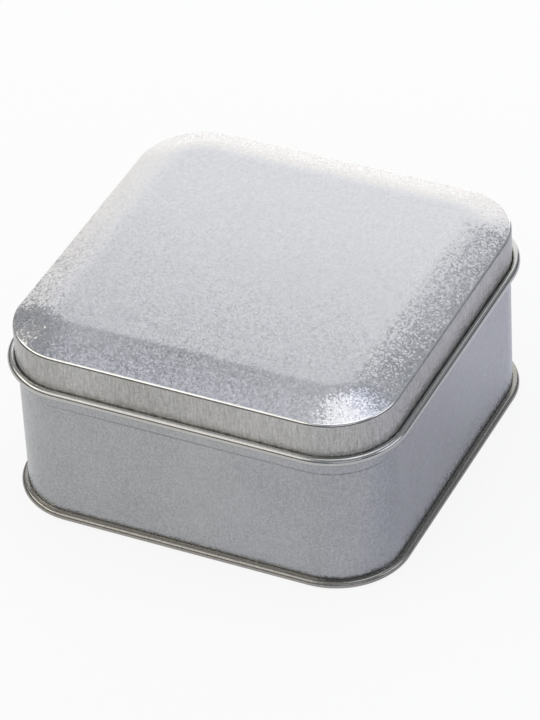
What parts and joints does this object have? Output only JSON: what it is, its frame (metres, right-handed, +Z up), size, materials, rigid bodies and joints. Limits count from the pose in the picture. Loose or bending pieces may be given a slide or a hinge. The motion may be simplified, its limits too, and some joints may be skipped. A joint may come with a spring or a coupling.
{
  "type": "stamp box",
  "caption": "Square tinplate box with rounded corners, a rolled bottom seam and a slip-on lid with a raised, bevelled panel, for keeping stamps or other small things.",
  "frame": {"origin": "under the middle of the tin, on the surface that it stands on", "axes": "+Z up through the lid, +X and -Y towards the two sides that the picture shows, on its right and its left"},
  "size_m": [0.09, 0.09, 0.045],
  "materials": {
    "lid_tinplate": "pearly matt tinplate with a fine grain",
    "wall_tinplate": "pearly matt tinplate with a fine grain",
    "bottom_tinplate": "pearly matt tinplate, burnished where it is rolled"
  },
  "bodies": {
    "tin_body": {"body_wall": "wall_tinplate", "bottom_panel": "bottom_tinplate"},
    "tin_lid": {"lid": "lid_tinplate"}
  },
  "joints": [
    {"name": "lid_lift", "type": "slide", "parent": "tin_body", "child": "tin_lid", "axis": [0, 0, 1], "range_m": [0, 0.05]}
  ]
}
